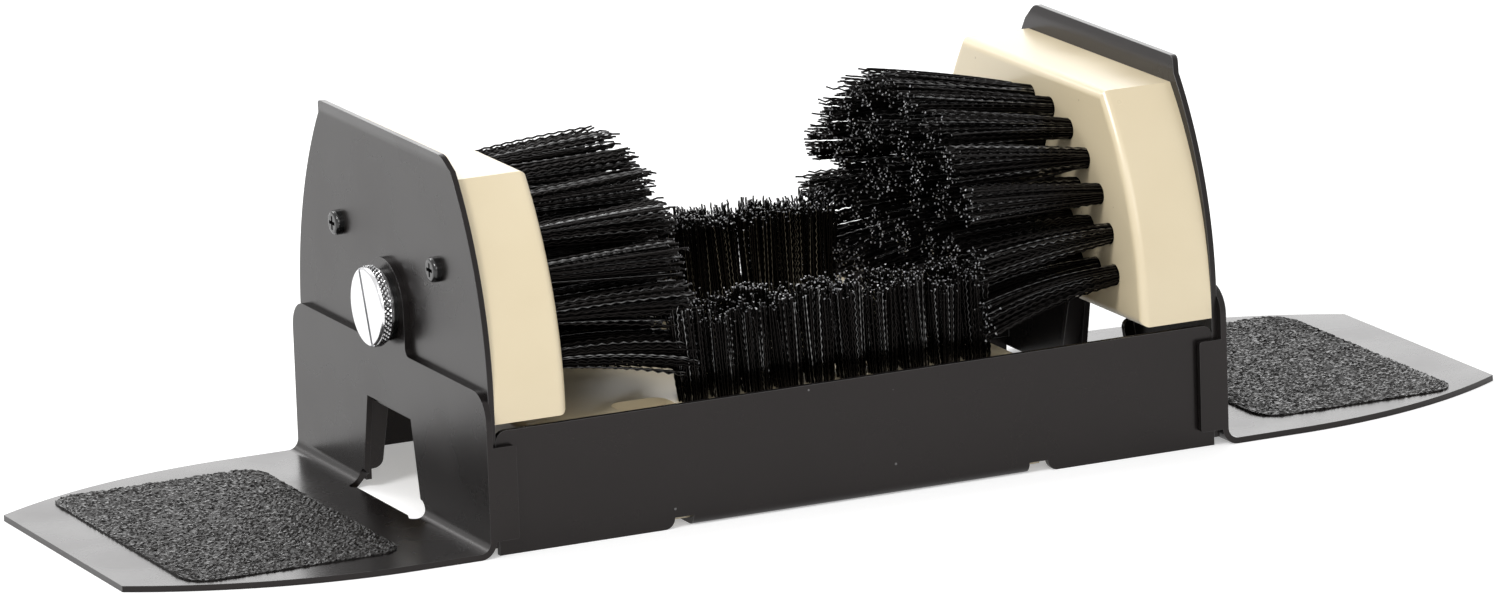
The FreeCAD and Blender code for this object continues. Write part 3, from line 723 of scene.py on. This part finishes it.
def grit_sheet(low, high, random):
    """Points and faces of a rounded sheet with a rough top.

    Column x has its ends at y = +-(half - corner + sqrt(corner^2 - inset^2)), where inset is
    how far x lies inside the corner. Inner points move by chance along x, y and z, and each
    cell is split into two facets along one or the other diagonal, by chance. A skirt goes
    down from the border and one face closes the underside.
    """
    half, middle = (high - low) / 2, (high + low) / 2
    columns, rows = (2 * half[:2] / GRIT_STEP).round().astype(int) + 1
    x = np.linspace(-half[0], half[0], columns)
    inset = np.clip(np.abs(x) - (half[0] - TAPE_CORNER), 0, TAPE_CORNER)
    reach = half[1] - TAPE_CORNER + np.sqrt(TAPE_CORNER ** 2 - inset ** 2)
    top = np.zeros((columns, rows, 3))
    top[..., 0] = x[:, None]
    top[..., 1] = reach[:, None] * np.linspace(-1, 1, rows)
    top[1:-1, 1:-1, :2] += random.uniform(-GRIT_SHIFT, GRIT_SHIFT, (columns - 2, rows - 2, 2))
    top[..., 2] = half[2] - GRIT_DEPTH * random.random((columns, rows))
    index = np.arange(columns * rows).reshape(columns, rows)
    a, b, c, d = index[:-1, :-1], index[1:, :-1], index[1:, 1:], index[:-1, 1:]
    flip = random.random(a.shape)[..., None] < EVEN_CHANCE
    first = np.where(flip, np.stack([a, b, c], -1), np.stack([a, b, d], -1))
    second = np.where(flip, np.stack([a, c, d], -1), np.stack([b, c, d], -1))
    facets = np.concatenate([first.reshape(-1, 3), second.reshape(-1, 3)])
    border = np.concatenate([index[:-1, 0], index[-1, :-1], index[:0:-1, -1], index[0, :0:-1]])
    bottom = top.reshape(-1, 3)[border]
    bottom[:, 2] = -half[2]
    below = np.arange(len(border)) + columns * rows
    skirt = np.stack([below, np.roll(below, -1), np.roll(border, -1), border], -1)
    points = np.concatenate([top.reshape(-1, 3), bottom]) + middle
    return points, facets.tolist() + skirt.tolist() + [below[::-1].tolist()]


for side in SIDES:
    low, high = (np.array(point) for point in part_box(f"{side}_grip_tape"))
    points, faces = grit_sheet(low, high, np.random.default_rng(GRIT_SEED[side]))
    mesh_piece(f"{side}_grit_sheet", points, faces, black_grit, f"{side}_grip_tape", smooth=False)
    print(f"{side}_grit_sheet", len(faces), "faces")

# %% [markdown]
# ## Knurled thumb screws
# The head is turned from bar: a plain ring, a groove, a band of diamond knurling, a rounded
# rim, a flat face and a coin slot. Its outline is turned round the screw's axis as one grid,
# and two crossing sets of slanted grooves are pressed into the rows of the band. The grooves
# get painted shade, darker where they go deeper, so the mesh also carries how deep each
# point lies. A box then cuts the slot.

# %% Thumb screws
SCREW_HEIGHT = 65.4 * MM
ROUND_STEPS = 640
KNURL_COUNT = 48
KNURL_DEPTH = 0.55 * MM
KNURL_LOW, KNURL_HIGH, KNURL_ROWS = 132.0, 134.25, 20
HEAD_RADIUS = 12.98
# Places along the axis and radii of the outline on both sides of the band, in millimetres.
OUTLINE_BELOW = [(115.5, 3.0), (116.5, 4.0), (130.85, 4.0), (130.85, 11.9), (131.0, 12.2),
                 (131.5, 12.2), (131.62, 11.6), (131.88, 11.6), (131.95, 12.7)]
OUTLINE_ABOVE = [(134.32, 12.65), (134.65, 12.6), (134.95, 12.45), (135.2, 12.1), (135.35, 11.7),
                 (135.4, 11.3)]
# Painted shade: how dark the deepest knurl grooves get.
GROOVE_SHADE_SHARE = 0.95
SLOT_ANGLE = math.radians(19.0)
SLOT_HALF = np.array([1.4, 0.75, 15.0]) * MM
SLOT_MIDDLE = 135.6 * MM
BOX_FACES = [(0, 1, 3, 2), (4, 6, 7, 5), (0, 4, 5, 1), (2, 3, 7, 6), (0, 2, 6, 4), (1, 5, 7, 3)]
SHARP_METAL = math.radians(38.0)


def groove(turns):
    """1 at whole numbers of turns, falling evenly to 0 half way between them."""
    return np.abs(2 * (turns % 1.0) - 1)


def turned_head(sign):
    """Points, faces and painted groove shade of the screw: its outline turned round X at the
    screw's height.

    Row i of the outline has a place t along the axis and a radius r. In the knurled band the
    radius is r - depth * max(groove(u + v), groove(u - v)), with u the knurls round the head
    and v the knurls along it. The point is (t, r cos a, r sin a), seen from either end alike.
    The deeper a point is pressed, the darker its painted shade, from 0 to 1.
    """
    band = [(t, HEAD_RADIUS) for t in np.linspace(KNURL_LOW, KNURL_HIGH, KNURL_ROWS)]
    outline = np.array(OUTLINE_BELOW + band + OUTLINE_ABOVE) * MM
    place, radius = outline[:, :1], outline[:, 1:]
    angle = sign * np.arange(ROUND_STEPS)[None] * TURN / ROUND_STEPS
    around = np.arange(ROUND_STEPS)[None] * KNURL_COUNT / ROUND_STEPS
    along = (place - KNURL_LOW * MM) * KNURL_COUNT / (TURN * HEAD_RADIUS * MM)
    pressed = np.maximum(groove(around + along), groove(around - along))
    in_band = (place >= KNURL_LOW * MM) & (place <= KNURL_HIGH * MM)
    radius = radius - KNURL_DEPTH * pressed * in_band
    points = np.stack([sign * place + 0 * radius, radius * np.cos(angle),
                       SCREW_HEIGHT + radius * np.sin(angle)], -1)
    index = np.arange(points.shape[0] * ROUND_STEPS).reshape(-1, ROUND_STEPS)
    after = np.roll(index, -1, axis=1)
    sides = np.stack([index[:-1], after[:-1], after[1:], index[1:]], -1).reshape(-1, 4)
    ends = [index[0, ::-1].tolist(), index[-1].tolist()]
    return points, sides.tolist() + ends, pressed * in_band


def cut_slot(piece, sign):
    """Cuts the coin slot with a box that leans by the slot's angle, and keeps the result."""
    signs = (-1, 1)
    corner = np.array([[x, y, z] for x in signs for y in signs for z in signs]) * SLOT_HALF
    cos, sin = math.cos(SLOT_ANGLE), math.sin(SLOT_ANGLE)
    corner = corner @ np.array([[1, 0, 0], [0, cos, sin], [0, -sin, cos]]).T
    box_mesh = bpy.data.meshes.new("slot_cutter")
    box_mesh.from_pydata(corner + [sign * SLOT_MIDDLE, 0, SCREW_HEIGHT], [], BOX_FACES)
    cutter = bpy.data.objects.new("slot_cutter", box_mesh)
    bpy.context.scene.collection.objects.link(cutter)
    cut = piece.modifiers.new("slot", "BOOLEAN")
    cut.operation, cut.solver, cut.object = "DIFFERENCE", "EXACT", cutter
    evaluated = piece.evaluated_get(bpy.context.evaluated_depsgraph_get())
    result = bpy.data.meshes.new_from_object(evaluated)
    piece.modifiers.clear()
    piece.data = result
    bpy.data.objects.remove(cutter)


for side, sign in SIDES.items():
    points, faces, groove_shade = turned_head(sign)
    piece = mesh_piece(
        f"{side}_knurled_screw", points, faces, bright_plating, f"{side}_thumb_screw")
    # Painted shade: the knurls' grooves darken by how deep they are pressed.
    set_mesh_value(piece, TINT_SHARE, GROOVE_SHADE_SHARE * groove_shade)
    cut_slot(piece, sign)
    piece.data.set_sharp_from_angle(angle=SHARP_METAL)
    print(piece.name, len(piece.data.polygons), "faces")
